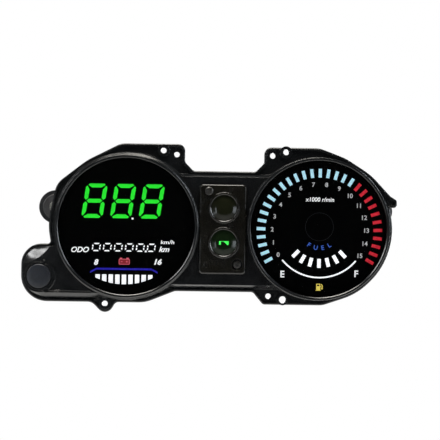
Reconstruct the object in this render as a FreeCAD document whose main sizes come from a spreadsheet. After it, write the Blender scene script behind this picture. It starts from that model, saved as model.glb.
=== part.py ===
import FreeCAD, Part
import Sketcher
import math
import os

# Motorcycle instrument cluster, two round dials in one moulded case.
# +X is the rider's right, +Z is up and the dials face -Y. The origin is the centre of the flat pad
# on the back of the case. Depths are counted forward from that pad, so a depth of 50 is y = -50.
# The button pod sits at the lower left.

V = FreeCAD.Vector
doc = FreeCAD.newDocument("instrument_cluster")

# ---------------------------------------------------------------------------------------------
# Driving dimensions, in millimetres
# ---------------------------------------------------------------------------------------------

DIMENSIONS = [
    ("dial_offset", 67.5, "dial centre from the middle plane"),
    ("window_radius", 48.0, "open radius of a dial window"),
    ("bezel_radius", 50.2, "outer radius of a dial tube at its front"),
    ("left_flange_radius", 55.2, "flange radius round the left dial"),
    ("right_flange_radius", 53.2, "flange radius round the right dial"),
    ("lens_radius", 49.2, "radius of a dial lens"),
    ("seat_radius", 49.3, "bore behind a dial window, which holds the lens"),
    ("rim_depth", 50.0, "front of the dial tubes"),
    ("face_depth", 40.0, "front of the bridge and pod faces"),
    ("flange_depth", 33.0, "front of the flange"),
    ("parting_depth", 30.0, "back of the front cover"),
    ("rear_rim_depth", 29.0, "front edge of the rear case"),
    ("step_depth", 17.0, "step in the back of the rear case"),
    ("back_depth", 5.0, "back wall of the rear case"),
    ("lip_width", 1.8, "width of the bead round the flange"),
    ("lip_height", 1.2, "height of that bead"),
    ("flange_top", 58.1, "height of the two shoulders"),
    ("flange_bottom", 54.0, "lower edge of the flange, below the dial centres"),
    ("bridge_top", 39.8, "upper edge of the bridge"),
    ("bridge_bottom", 45.6, "lower edge of the bridge, below the dial centres"),
    ("shoulder_shift", 1.1, "shoulders and their holes sit this far to the right"),
    ("shoulder_half", 28.1, "half the gap between the shoulders"),
    ("pod_left", 142.0, "left edge of the button pod, from the middle plane"),
    ("pod_top", 13.2, "upper edge of the pod, below the dial centres"),
    ("tip_right", 123.9, "end of the locating tip at the right"),
    ("lug_offset", 82.4, "lower left lug, from the middle plane"),
    ("lug_drop", 55.0, "lower left lug, below the dial centres"),
    ("plain_half", 34.0, "half the spacing of the two plain upper holes"),
    ("plain_height", 51.3, "height of the plain upper holes"),
    ("boss_half", 43.4, "half the spacing of the two bossed upper holes"),
    ("boss_height", 54.0, "height of the bossed upper holes"),
    ("plain_hole", 1.95, "radius of a plain screw hole"),
    ("boss_hole", 2.0, "radius of a bossed screw hole"),
    ("large_hole", 2.45, "radius of the large lower hole"),
    ("tub_radius", 51.0, "rear case radius at its front"),
    ("drum_radius", 38.0, "rear case radius behind its step"),
    ("case_wall", 2.4, "wall of the rear case"),
    ("ear_left", 119.6, "left mounting ear, from the middle plane"),
    ("ear_right", 112.6, "right mounting ear, from the middle plane"),
    ("ear_height", 13.0, "height of both ears"),
    ("left_ear_radius", 12.0, "outer radius of the left ear"),
    ("right_ear_radius", 10.2, "outer radius of the right ear"),
    ("bush_radius", 7.5, "radius of a rubber bush in its ear"),
    ("insert_radius", 4.4, "outer radius of the steel insert in a bush"),
    ("insert_bore", 2.5, "tapped bore of the steel insert, for an M6 stud"),
    ("button_x", 129.0, "reset button, left of the middle plane"),
    ("button_z", 36.0, "reset button, below the dial centres"),
    ("button_radius", 8.4, "radius of the reset button"),
    ("stem_radius", 2.0, "radius of the button's stem"),
    ("stem_clearance", 0.05, "gap round the stem in its guide"),
    ("mask_front", 40.5, "front of the dial masks"),
    ("mask_thick", 1.0, "thickness of the dial masks"),
    ("board_front", 33.2, "front of the display boards"),
    ("board_thick", 1.6, "thickness of every board"),
    ("tower_circle", 46.9, "radius on which the case screws stand round a dial"),
    ("tower_radius", 3.1, "radius of a screw tower"),
    ("plate_left", 16.5, "left edge of the indicator plate, from the middle plane"),
    ("plate_right", 16.7, "right edge of the indicator plate"),
    ("plate_top", 30.3, "upper edge of the indicator plate"),
    ("plate_bottom", 32.8, "lower edge of the indicator plate"),
    ("plate_depth", 45.0, "front of the indicator plate"),
    ("lamp_x", 0.9, "indicator lamps, right of the middle plane"),
    ("upper_lamp_z", 13.8, "height of the upper lamp"),
    ("lower_lamp_z", -10.7, "height of the lower lamp"),
    ("lamp_ring_radius", 11.3, "outer radius of a lamp ring"),
    ("lamp_lens_radius", 9.2, "radius of a lamp lens"),
    ("pad_half_width", 24.0, "half the width of the rear pad"),
    ("pad_half_height", 14.0, "half the height of the rear pad"),
    ("pad_hole_half", 14.0, "half the spacing of the pad's two tapped holes"),
    ("pad_hole", 2.1, "radius of a pad hole, for an M5 thread"),
    ("socket_half_width", 14.0, "half the width of the harness socket"),
    ("socket_top", -17.0, "upper edge of the harness socket"),
    ("socket_bottom", -28.5, "lower edge of the harness socket"),
]

sheet = doc.addObject("Spreadsheet::Sheet", "Dims")
for row, (alias, number, meaning) in enumerate(DIMENSIONS, start=1):
    sheet.set("A%d" % row, alias)
    sheet.set("B%d" % row, str(number))
    sheet.setAlias("B%d" % row, alias)
    sheet.set("C%d" % row, meaning)
doc.recompute()


class Size:
    """A length together with the spreadsheet expression that gives it."""

    def __init__(self, number, text):
        self.number = number
        self.text = text

    def __float__(self):
        return float(self.number)

    def __neg__(self):
        return Size(-self.number, "(0 - %s)" % self.text)

    def __add__(self, other):
        other = sized(other)
        return Size(self.number + other.number, "(%s + %s)" % (self.text, other.text))

    def __sub__(self, other):
        other = sized(other)
        return Size(self.number - other.number, "(%s - %s)" % (self.text, other.text))

    def __mul__(self, factor):
        return Size(self.number * factor, "(%s * %.6f)" % (self.text, factor))

    def __truediv__(self, divisor):
        return self * (1.0 / divisor)

    def __radd__(self, other):
        return sized(other) + self

    def __rsub__(self, other):
        return sized(other) - self

    __rmul__ = __mul__


def sized(value):
    """Any number as a Size; a plain number is its own expression."""
    if isinstance(value, Size):
        return value
    return Size(float(value), "(%.6f)" % value)


def dim(alias):
    """The spreadsheet cell with this alias."""
    return Size(float(getattr(sheet, alias)), "Dims." + alias)


def bind(obj, prop, value):
    """Ties one property to the spreadsheet."""
    obj.setExpression(prop, sized(value).text)


# ---------------------------------------------------------------------------------------------
# Building blocks. Every round one runs along Y, from its front depth to its back depth.
# ---------------------------------------------------------------------------------------------

FACING_BACK = FreeCAD.Rotation(V(1, 0, 0), -90)
NODES = []


def node(obj, label):
    """Names a finished sub-part."""
    obj.Label = label
    NODES.append(obj)
    return obj


def put(obj, x, y, z, rotation=FreeCAD.Rotation()):
    """Sets an object's placement and ties its position to the spreadsheet."""
    obj.Placement = FreeCAD.Placement(V(float(x), float(y), float(z)), rotation)
    bind(obj, "Placement.Base.x", x)
    bind(obj, "Placement.Base.y", y)
    bind(obj, "Placement.Base.z", z)
    return obj


def cylinder(name, radius, front, back, x=0, z=0):
    obj = doc.addObject("Part::Cylinder", name)
    bind(obj, "Radius", radius)
    bind(obj, "Height", sized(front) - back)
    return put(obj, x, -sized(front), z, FACING_BACK)


def cone(name, front_radius, back_radius, front, back, x=0, z=0):
    obj = doc.addObject("Part::Cone", name)
    bind(obj, "Radius1", front_radius)
    bind(obj, "Radius2", back_radius)
    bind(obj, "Height", sized(front) - back)
    return put(obj, x, -sized(front), z, FACING_BACK)


def block(name, left, right, bottom, top, front, back):
    obj = doc.addObject("Part::Box", name)
    bind(obj, "Length", sized(right) - left)
    bind(obj, "Width", sized(front) - back)
    bind(obj, "Height", sized(top) - bottom)
    return put(obj, left, -sized(front), bottom)


def fuse(name, *shapes):
    obj = doc.addObject("Part::MultiFuse", name)
    obj.Shapes = list(shapes)
    obj.Refine = True
    return obj


def cut(name, base, *tools):
    """The base with every tool taken away."""
    obj = doc.addObject("Part::Cut", name)
    obj.Base = base
    obj.Tool = tools[0] if len(tools) == 1 else fuse(name + "_tools", *tools)
    obj.Refine = True
    return obj


def group(name, *shapes):
    """Separate solids that share one node."""
    obj = doc.addObject("Part::Compound", name)
    obj.Links = list(shapes)
    return obj


def rounded_wire(corners, place):
    """Closed wire of straight runs and tangent arcs. A corner is (across, up, radius)."""
    points = [place(float(across), float(up)) for across, up, radius in corners]
    arcs = []
    for index, point in enumerate(points):
        to_last = (points[index - 1] - point).normalize()
        to_next = (points[(index + 1) % len(points)] - point).normalize()
        radius = float(corners[index][2])
        half_turn = (math.pi - to_last.getAngle(to_next)) / 2
        reach = radius * math.tan(half_turn)
        inward = (to_last + to_next).normalize()
        centre = point + inward * (radius / math.cos(half_turn))
        arcs.append((point + to_last * reach, centre - inward * radius, point + to_next * reach))
    edges = []
    for index, (start, middle, end) in enumerate(arcs):
        following = arcs[(index + 1) % len(arcs)][0]
        run = points[(index + 1) % len(points)] - points[index]
        if (following - end).dot(run) < -1e-6:
            raise ValueError("corner %d leaves no room for the next one" % index)
        if float(corners[index][2]) > 0:
            edges.append(Part.Arc(start, middle, end).toShape())
        if (following - end).Length > 1e-6:
            edges.append(Part.makeLine(end, following))
    return Part.Wire(edges)


def outline(name, corners, depth, inset=0):
    """Closed wire square to Y; its corners are (x, z, radius), drawn in by the inset."""
    obj = doc.addObject("Part::Feature", name)
    wire = rounded_wire(corners, lambda across, up: V(across, 0, up))
    obj.Shape = wire.makeOffset2D(-float(inset)) if float(inset) else wire
    return put(obj, 0, -sized(depth), 0)


def extrude(name, wire, front, back):
    obj = doc.addObject("Part::Extrusion", name)
    obj.Base = wire
    obj.DirMode = "Custom"
    obj.Dir = V(0, 1, 0)
    obj.Solid = True
    bind(obj, "LengthFwd", sized(front) - back)
    return obj


def slab(name, corners, front, back):
    """Plate square to Y with any outline."""
    return extrude(name, outline(name + "_outline", corners, front), front, back)


def loft(name, first, second):
    obj = doc.addObject("Part::Loft", name)
    obj.Sections = [first, second]
    obj.Solid = True
    obj.Ruled = True
    return obj


def turned(name, profile, x=0, z=0):
    """Body of revolution about a line along Y; its profile's corners are (radius, depth, fillet)."""
    wire = doc.addObject("Part::Feature", name + "_profile")
    wire.Shape = rounded_wire(profile, lambda across, up: V(across, -up, 0))
    obj = doc.addObject("Part::Revolution", name)
    obj.Source = wire
    obj.Axis = V(0, 1, 0)
    obj.Angle = 360
    obj.Solid = True
    return put(obj, x, 0, z)


def new_body(name, x, depth, z):
    """Body whose own XZ plane stands at the given depth; a pad on that plane grows forward."""
    obj = doc.addObject("PartDesign::Body", name)
    return put(obj, x, -sized(depth), z)


def face_sketch(body, suffix):
    sketch = body.newObject("Sketcher::SketchObject", body.Name + suffix)
    plane = [item for item in body.Origin.OriginFeatures if item.Role == "XZ_Plane"][0]
    sketch.AttachmentSupport = (plane, [""])
    sketch.MapMode = "FlatFace"
    return sketch


def bound_constraint(sketch, kind, references, value):
    index = sketch.addConstraint(Sketcher.Constraint(kind, *references, float(value)))
    sketch.setExpression("Constraints[%d]" % index, sized(value).text)


def sketch_circle(sketch, radius, across=0, up=0):
    """Circle with bound radius; its centre is at the origin or at bound positive distances."""
    circle = Part.Circle(V(float(across), float(up), 0), V(0, 0, 1), float(radius))
    index = sketch.addGeometry(circle)
    bound_constraint(sketch, "Radius", (index,), radius)
    if float(across) == 0 and float(up) == 0:
        sketch.addConstraint(Sketcher.Constraint("Coincident", index, 3, -1, 1))
        return
    if float(across) == 0:
        sketch.addConstraint(Sketcher.Constraint("PointOnObject", index, 3, -2))
    else:
        bound_constraint(sketch, "DistanceX", (-1, 1, index, 3), across)
    bound_constraint(sketch, "DistanceY", (-1, 1, index, 3), up)


def sketch_rectangle(sketch, width, height):
    """Rectangle with one corner at the sketch's origin."""
    corners = [V(0, 0, 0), V(float(width), 0, 0), V(float(width), float(height), 0)]
    corners.append(V(0, float(height), 0))
    for index in range(4):
        sketch.addGeometry(Part.LineSegment(corners[index], corners[(index + 1) % 4]))
    for index in range(4):
        sketch.addConstraint(Sketcher.Constraint("Coincident", index, 2, (index + 1) % 4, 1))
    for kind, index in (("Horizontal", 0), ("Vertical", 1), ("Horizontal", 2), ("Vertical", 3)):
        sketch.addConstraint(Sketcher.Constraint(kind, index))
    sketch.addConstraint(Sketcher.Constraint("Coincident", 0, 1, -1, 1))
    bound_constraint(sketch, "DistanceX", (0, 1, 0, 2), width)
    bound_constraint(sketch, "DistanceY", (1, 1, 1, 2), height)


def pad(body, sketch, length):
    obj = body.newObject("PartDesign::Pad", body.Name + "_pad")
    obj.Profile = sketch
    bind(obj, "Length", length)
    return obj


def ring_body(label, outer, inner, front, back, x=0, z=0):
    """Round plate or washer as a body: one sketch, one pad. An inner radius of 0 leaves no hole."""
    body = new_body(label, x, back, z)
    sketch = face_sketch(body, "_sketch")
    sketch_circle(sketch, outer)
    if float(inner) > 0:
        sketch_circle(sketch, inner)
    pad(body, sketch, sized(front) - back)
    return body


def board_body(label, left, right, bottom, top, front, holes=()):
    """Rectangular circuit board as a body, with its screw holes (x, z, radius)."""
    thick = dim("board_thick")
    body = new_body(label, left, sized(front) - thick, bottom)
    sketch = face_sketch(body, "_sketch")
    sketch_rectangle(sketch, sized(right) - left, sized(top) - bottom)
    for x, z, radius in holes:
        sketch_circle(sketch, radius, sized(x) - left, sized(z) - bottom)
    pad(body, sketch, thick)
    return body


def torus(name, major, minor, depth, x, z):
    obj = doc.addObject("Part::Torus", name)
    bind(obj, "Radius1", major)
    bind(obj, "Radius2", minor)
    return put(obj, x, -sized(depth), z, FACING_BACK)


def prism(corners, front, back, x, z):
    """Shape of a straight-sided prism along Y; its corners are (across, up) from (x, z)."""
    points = [V(x + across, -front, z + up) for across, up in corners]
    face = Part.Face(Part.makePolygon(points + points[:1]))
    return face.extrude(V(0, front - back, 0))


def prisms(name, shapes):
    """One feature that holds many separate prisms."""
    obj = doc.addObject("Part::Feature", name)
    obj.Shape = Part.makeCompound(shapes)
    return obj


# ---------------------------------------------------------------------------------------------
# Front cover
# ---------------------------------------------------------------------------------------------

dial_x = {"left": -dim("dial_offset"), "right": dim("dial_offset")}
rim = dim("rim_depth")
face = dim("face_depth")
flange = dim("flange_depth")
parting = dim("parting_depth")
lip_top = flange + dim("lip_height")
button_x = -dim("button_x")
button_z = -dim("button_z")
PAST = 0.6
PLATE_SCREWS = ((-9.8, 25.6), (10.5, -25.8))
POD_RIDGES = ((-127.0, -46.0), (-126.0, -47.3))
WINDOW_BEVEL = 0.5


def tangent_x(centre, radius, angle, height):
    """Where the tangent of a dial circle at this angle crosses a height."""
    turn = math.radians(angle)
    return float(centre) + (float(radius) - float(height) * math.sin(turn)) / math.cos(turn)


def line_corner(centre, first, second, fillet):
    """Corner of two lines, each the (angle, length) of its normal from a dial centre, and its fillet."""
    first_turn = math.radians(first[0])
    second_turn = math.radians(second[0])
    spread = math.sin(second_turn - first_turn)
    across = (first[1] * math.sin(second_turn) - second[1] * math.sin(first_turn)) / spread
    up = (second[1] * math.cos(first_turn) - first[1] * math.cos(second_turn)) / spread
    return (float(centre) + across, up, fillet)


def flange_corners():
    """Outline of the flange, clockwise from the upper left; edges round a dial are lines near its circle."""
    left = dial_x["left"]
    right = dial_x["right"]
    left_radius = float(dim("left_flange_radius"))
    right_radius = float(dim("right_flange_radius"))
    left_top = float(dim("flange_top")) + 0.6
    right_top = float(dim("flange_top")) - 0.8
    bottom = -dim("flange_bottom")
    bridge_top = dim("bridge_top")
    bridge_bottom = -dim("bridge_bottom")
    shift = dim("shoulder_shift")
    gap = dim("shoulder_half")
    lug_x = -dim("lug_offset")
    lug_radius = 6.0
    lug_rise = float(dim("lug_drop")) - float(dim("flange_bottom"))
    lug_centre = -float(dim("lug_drop"))
    lug_corner = line_corner(lug_x, (225, lug_radius), (330, lug_radius), lug_radius - 0.1)
    tip = dim("tip_right")
    tip_bottom = 15.6
    left_lines = [(90, left_top), (117, left_radius - 0.7), (128, left_radius - 0.8),
                  (168, left_radius + 0.2), (190, left_radius)]
    right_lines = [(90, right_top), (69.5, right_radius + 0.8), (57.5, right_radius - 0.2),
                   (43.2, right_radius + 0.87)]
    lower_lines = [(12, right_radius), (-15, right_radius), (-45, right_radius - 0.2),
                   (-71, right_radius - 0.4), (-90, -bottom + 0.3)]
    return [
        line_corner(left, left_lines[1], left_lines[0], 12),
        (shift - gap, left_top, 5),
        (shift - gap, bridge_top + 6.2, 4),
        (shift - gap + 6, bridge_top, 4),
        (shift + gap - 6, bridge_top, 4),
        (shift + gap, bridge_top + 6.2, 4),
        (shift + gap, right_top, 5),
        line_corner(right, right_lines[0], right_lines[1], 16),
        line_corner(right, right_lines[1], right_lines[2], 40),
        line_corner(right, right_lines[2], right_lines[3], 50),
        (119.2, 23.9, 1.2),
        (tip, 20.9, 1.8),
        (tip, tip_bottom, 2.4),
        (tangent_x(right, right_radius, 12, tip_bottom), tip_bottom, 1.0),
        line_corner(right, lower_lines[0], lower_lines[1], 50),
        line_corner(right, lower_lines[1], lower_lines[2], 50),
        line_corner(right, lower_lines[2], lower_lines[3], 46),
        line_corner(right, lower_lines[3], lower_lines[4], 14),
        (shift + gap + 0.3, bottom - 0.3, 3),
        (shift + gap - 7, bridge_bottom, 3),
        (tangent_x(left, left_radius, -68, bridge_bottom), bridge_bottom, 6),
        (tangent_x(left, left_radius, -68, bottom), bottom, 25),
        (tangent_x(lug_x, lug_radius, 330, lug_rise), bottom, 4),
        (lug_corner[0], lug_centre + lug_corner[1], lug_corner[2]),
        (tangent_x(lug_x, lug_radius, 225, lug_rise), bottom, 7),
        (-dim("pod_left"), bottom, 18.4),
        (-dim("pod_left"), -dim("pod_top"), 14.5),
        (tangent_x(left, left_radius, 190, -dim("pod_top")), -dim("pod_top"), 2),
        line_corner(left, left_lines[4], left_lines[3], 48),
        line_corner(left, left_lines[3], left_lines[2], 14),
        line_corner(left, left_lines[2], left_lines[1], 50),
    ]


def front_edges(solid, depth):
    """Numbers of the edges of a solid that lie wholly in the plane at this depth."""
    plane = -float(depth)
    numbers = []
    for number, edge in enumerate(solid.Shape.Edges, start=1):
        box = edge.BoundBox
        if abs(box.YMin - plane) < 1e-4 and abs(box.YMax - plane) < 1e-4:
            numbers.append(number)
    return numbers


def rounded_front(name, solid, depth, radius):
    """The solid with its front edges rounded."""
    doc.recompute()
    rounded = doc.addObject("Part::Fillet", name)
    rounded.Base = solid
    rounded.Edges = [(number, radius, radius) for number in front_edges(solid, depth)]
    return rounded


def flange_parts():
    """The flat flange and the bead that runs round its edge."""
    plate = slab("flange_plate", flange_corners(), flange, parting)
    edge = outline("bead_outline", flange_corners(), lip_top)
    inner = outline("bead_inner_outline", flange_corners(), lip_top + PAST, dim("lip_width"))
    outside = rounded_front("bead_rounded", extrude("bead_outside", edge, lip_top, flange), lip_top, 0.95)
    return [plate, cut("bead", outside, extrude("bead_inside", inner, lip_top + PAST, flange - PAST))]


def tube_base(side):
    """Radius of a dial tube where it meets the flange."""
    return dim(side + "_flange_radius") - dim("lip_width") - 0.6


def dial_tube(side):
    """Outside of one dial tube: a short cone with a rounded rim and two shallow terraces."""
    rim_radius = dim("bezel_radius")
    upper_terrace = 45.2
    lower_terrace = 38.6
    shrink = float(tube_base(side) - rim_radius) * 0.25
    profile = [
        (0, rim, 0),
        (rim_radius, rim, 0.6),
        (tube_radius_at(side, upper_terrace + 0.4) - shrink, upper_terrace + 0.4, 0),
        (tube_radius_at(side, upper_terrace), upper_terrace, 0),
        (tube_radius_at(side, lower_terrace + 0.4) - shrink, lower_terrace + 0.4, 0),
        (tube_radius_at(side, lower_terrace), lower_terrace, 0),
        (tube_base(side), flange, 0),
        (tube_base(side), parting, 0),
        (0, parting, 0),
    ]
    return turned(side + "_tube", profile, dial_x[side], 0)


def tube_radius_at(side, depth):
    """Outer radius of a dial tube at a depth between the flange and the rim."""
    share = (float(depth) - float(flange)) / (float(rim) - float(flange))
    base = float(tube_base(side))
    return base + (float(dim("bezel_radius")) - base) * share


def bridge_corners(depth, top, bottom):
    """Bridge outline at one depth: it runs into both dial tubes with a hollow curve."""
    left = dial_x["left"]
    right = dial_x["right"]
    overlap = 0.4
    left_radius = tube_radius_at("left", depth) - overlap
    right_radius = tube_radius_at("right", depth) - overlap
    upper = top + 4.5
    lower = bottom - 1.5
    upper_end = 42
    lower_end = 46
    return [
        (-upper_end, upper, 0),
        (tangent_x(left, left_radius, 48, upper), upper, 0),
        (tangent_x(left, left_radius, 48, top), top, 9),
        (tangent_x(right, right_radius, 132, top), top, 9),
        (tangent_x(right, right_radius, 132, upper), upper, 0),
        (upper_end, upper, 0),
        (lower_end, lower, 0),
        (tangent_x(right, right_radius, -126, lower), lower, 0),
        (tangent_x(right, right_radius, -126, bottom), bottom, 7),
        (tangent_x(left, left_radius, -54, bottom), bottom, 7),
        (tangent_x(left, left_radius, -54, lower), lower, 0),
        (-lower_end, lower, 0),
    ]


def bridge_solid():
    """Raised block between the dials, its walls sloping in towards the front."""
    base_top = float(dim("bridge_top")) - 2.0
    base_bottom = 2.0 - float(dim("bridge_bottom"))
    base = outline("bridge_base", bridge_corners(flange, base_top, base_bottom), flange)
    front = outline("bridge_front", bridge_corners(face, base_top - 2.1, base_bottom + 3.0), face)
    return fuse("bridge_block", loft("bridge_loft", base, front),
                block("bridge_root", -38, 38, base_bottom, base_top, flange, parting))


def pod_solid():
    """Raised pod: its face has a hollow upper edge, so the wall above it twists as it falls."""
    inset = 2.0
    right_end = -80
    base_left = inset - float(dim("pod_left"))
    base_top = -inset - float(dim("pod_top"))
    base_bottom = inset - float(dim("flange_bottom"))
    face_left = float(button_x) - 11.4
    face_bottom = float(button_z) - 11.4
    base = outline("pod_base", [
        (right_end, base_bottom, 0),
        (base_left, base_bottom, 16.4),
        (base_left, base_top, 10.2),
        (right_end, base_top, 0),
    ], flange)
    scoop_x = -144.8
    scoop_radius = 27.7
    scoop_start = math.sqrt(scoop_radius ** 2 - (face_left - scoop_x) ** 2)
    scoop_end = V(-121.4, 0, -14.8)
    left_start = V(face_left, 0, float(button_z))
    left_end = V(face_left, 0, -scoop_start)
    middle_angle = math.radians(-57)
    middle = V(scoop_x + scoop_radius * math.cos(middle_angle), 0, scoop_radius * math.sin(middle_angle))
    bottom_end = V(float(button_x), 0, face_bottom)
    corner = math.radians(225)
    bend = V(float(button_x) + 11.4 * math.cos(corner), 0, float(button_z) + 11.4 * math.sin(corner))
    start = V(right_end, 0, face_bottom)
    finish = V(right_end, 0, scoop_end.z)
    front = doc.addObject("Part::Feature", "pod_front")
    front.Shape = Part.Wire([
        Part.makeLine(start, bottom_end),
        Part.Arc(bottom_end, bend, left_start).toShape(),
        Part.makeLine(left_start, left_end),
        Part.Arc(left_end, middle, scoop_end).toShape(),
        Part.makeLine(scoop_end, finish),
        Part.makeLine(finish, start),
    ])
    put(front, 0, -face, 0)
    root = block("pod_root", -132, right_end, base_bottom, base_top, flange, parting)
    return fuse("pod_block", loft("pod_loft", base, front), root)


def dial_bores(side):
    """Window, lens seat and open back of one dial tube."""
    window = dim("window_radius")
    seat = dim("seat_radius")
    profile = [
        (0, rim + PAST, 0),
        (window + WINDOW_BEVEL + PAST, rim + PAST, 0),
        (window, rim - WINDOW_BEVEL, 0),
        (window, 46.6, 0),
        (seat, 46.6, 0),
        (seat, parting - PAST, 0),
        (0, parting - PAST, 0),
    ]
    return turned(side + "_bore", profile, dial_x[side], 0)


TOWER_ANGLES = {"left": (128, 232), "right": (52, -52)}
BRIDGE_TOWERS = ((0, 29.0), (0, -34.6))


def tower_places():
    """Where the six case screws stand: two beside each dial and two in the bridge."""
    places = list(BRIDGE_TOWERS)
    circle = dim("tower_circle")
    for side, angles in TOWER_ANGLES.items():
        for angle in angles:
            turn = math.radians(angle)
            places.append((dial_x[side] + circle * math.cos(turn), circle * math.sin(turn)))
    return places


def cover_holes():
    """The seven open screw holes as (name, x, z, radius, boss radius)."""
    shift = dim("shoulder_shift")
    plain = dim("plain_half")
    boss = dim("boss_half")
    plain_z = dim("plain_height")
    boss_z = dim("boss_height")
    return [
        ("upper_left_plain", shift - plain, plain_z, dim("plain_hole"), 0),
        ("upper_right_plain", shift + plain, plain_z, dim("plain_hole"), 0),
        ("upper_left_boss", shift - boss, boss_z, dim("boss_hole"), 4.3),
        ("upper_right_boss", shift + boss, boss_z, dim("boss_hole"), 4.3),
        ("lower_right_plain", 33.2, -48.3, dim("plain_hole"), 0),
        ("lower_right_boss", 43.4, -50.6, dim("large_hole"), 4.0),
        ("lower_left_lug", -dim("lug_offset"), -dim("lug_drop"), dim("boss_hole"), 4.3),
    ]


def front_cover():
    solids = flange_parts()
    solids += [dial_tube("left"), dial_tube("right"), bridge_solid(), pod_solid()]
    hollows = [dial_bores("left"), dial_bores("right")]
    hollows.append(block("bridge_cavity", -14.5, 14.5, -38.6, 33.4, face - 2.2, parting - PAST))
    hollows.append(slab("pod_cavity", [(-119, -48.4, 4), (-138.6, -48.4, 12), (-138.6, -24.4, 5),
                                       (-126, -24.4, 6), (-119, -19, 1.5)], face - 2.4, parting - PAST))
    shell = cut("cover_shell", fuse("cover_solid", *solids), *hollows)

    added = []
    for index, (x, z) in enumerate(tower_places()):
        added.append(cylinder("cover_tower_%d" % index, dim("tower_radius"), 38.8, parting, x, z))
    cup_radius = dim("button_radius") + 1.9
    added.append(cylinder("button_cup", cup_radius, face, 32, button_x, button_z))
    collar = [
        (0, face + 1.3, 0), (cup_radius + 1.5, face + 1.3, 0.5),
        (cup_radius + 2.0, face - 0.5, 0), (0, face - 0.5, 0),
    ]
    added.append(cut("button_collar_side", turned("button_collar", collar, button_x, button_z),
                     block("button_collar_trim", -150, button_x + 3.2, -60, -20, face + 2, face - 2)))
    for index, (left, height) in enumerate(POD_RIDGES):
        ridge = doc.addObject("Part::Cylinder", "pod_ridge_%d" % index)
        ridge.Radius = 0.45
        ridge.Height = -92 - left
        put(ridge, left, -face, height, FreeCAD.Rotation(V(0, 1, 0), 90))
        added.append(ridge)
    holes = []
    for name, x, z, radius, boss in cover_holes():
        if boss:
            added.append(cylinder(name + "_ring", boss, lip_top + 0.2, parting, x, z))
        holes.append(cylinder(name + "_hole", radius, rim, parting - PAST, x, z))
    for index, (x, z) in enumerate(tower_places()):
        holes.append(cylinder("cover_pilot_%d" % index, 1.2, 37.6, parting - PAST, x, z))
    holes.append(cylinder("button_bore", dim("button_radius") + 0.4, rim, 34, button_x, button_z))
    guide = dim("stem_radius") + dim("stem_clearance")
    holes.append(cylinder("stem_guide", guide, 35, 31, button_x, button_z))
    for name, turn in (("upper", 62), ("lower", -62)):
        angle = math.radians(turn)
        x = button_x + (cup_radius + 1.0) * math.cos(angle)
        z = button_z + (cup_radius + 1.0) * math.sin(angle)
        holes.append(cylinder("collar_notch_" + name, 1.6, face + 3, face, x, z))
    for name, height in (("upper", dim("upper_lamp_z")), ("lower", dim("lower_lamp_z"))):
        holes.append(cylinder(name + "_lamp_hole", 7.5, face + 1, parting, dim("lamp_x"), height))
    for index, (x, z) in enumerate(PLATE_SCREWS):
        holes.append(cylinder("plate_pilot_%d" % index, 1.1, face + 1, face - 3, x, z))
    ring_groove = [(9.9, face + 1, 0), (10.4, face + 1, 0), (10.3, face - 0.3, 0), (10.0, face - 0.3, 0)]
    holes.append(cut("button_ring_groove", turned("button_ring_line", ring_groove, button_x, button_z),
                     block("button_ring_trim", button_x + 2, -110, -60, -20, face + 2, face - 2)))
    return node(cut("front_cover", fuse("cover_filled", shell, *added), *holes), "front_cover")


front_cover()


# ---------------------------------------------------------------------------------------------
# Rear case, gasket and case screws
# ---------------------------------------------------------------------------------------------

rear_rim = dim("rear_rim_depth")
step = dim("step_depth")
back = dim("back_depth")
wall = dim("case_wall")
POD_FLOOR = 12.0
BOARD_SCREW_CIRCLE = 33.0
MAIN_BOARD_SCREWS = ((-20.5, 19), (20.5, 19), (-20.5, -22), (20.5, -22))
BUTTON_BOARD_SCREWS = ((-132.6, -29.3), (-119.6, -39.4))
VENT_X = 58


def tub(name, inset, front, back_depth, pod_back):
    """Front part of the rear case as a solid, drawn in by an inset; its pod has its own depth."""
    radius = dim("tub_radius") - inset
    pod = [
        (-100, -50.6 + inset, 0),
        (-139.2 + inset, -50.6 + inset, 15 - inset),
        (-139.2 + inset, -16.8 - inset, 9 - inset),
        (-100, -16.8 - inset, 0),
    ]
    return fuse(name,
                cylinder(name + "_left", radius, front, back_depth, dial_x["left"]),
                cylinder(name + "_right", radius, front, back_depth, dial_x["right"]),
                block(name + "_bridge", -40, 40, -42 + inset, 36 - inset, front, back_depth),
                slab(name + "_pod", pod, front, pod_back))


def drum(name, inset, front, back_depth):
    """Back part of the rear case as a solid, drawn in by an inset."""
    radius = dim("drum_radius") - inset
    return fuse(name,
                cone(name + "_left", radius, radius - 2, front, back_depth, dial_x["left"]),
                cone(name + "_right", radius, radius - 2, front, back_depth, dial_x["right"]),
                block(name + "_bridge", -50, 50, -31 + inset, 24.5 - inset, front, back_depth))


def ear(side, x, inner_x):
    """Mounting ear: a round eye on an arm from the drum, with a raised ring on its front."""
    z = dim("ear_height")
    low = min(float(x), float(inner_x))
    left, right = (x, inner_x) if low == float(x) else (inner_x, x)
    return fuse(side + "_ear",
                cylinder(side + "_ear_eye", dim(side + "_ear_radius"), 15, 7, x, z),
                cylinder(side + "_ear_ring", dim("bush_radius") + 1.6, 16, 7, x, z),
                block(side + "_ear_arm", left, right, z - 9, z + 9, 15, 7))


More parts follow.
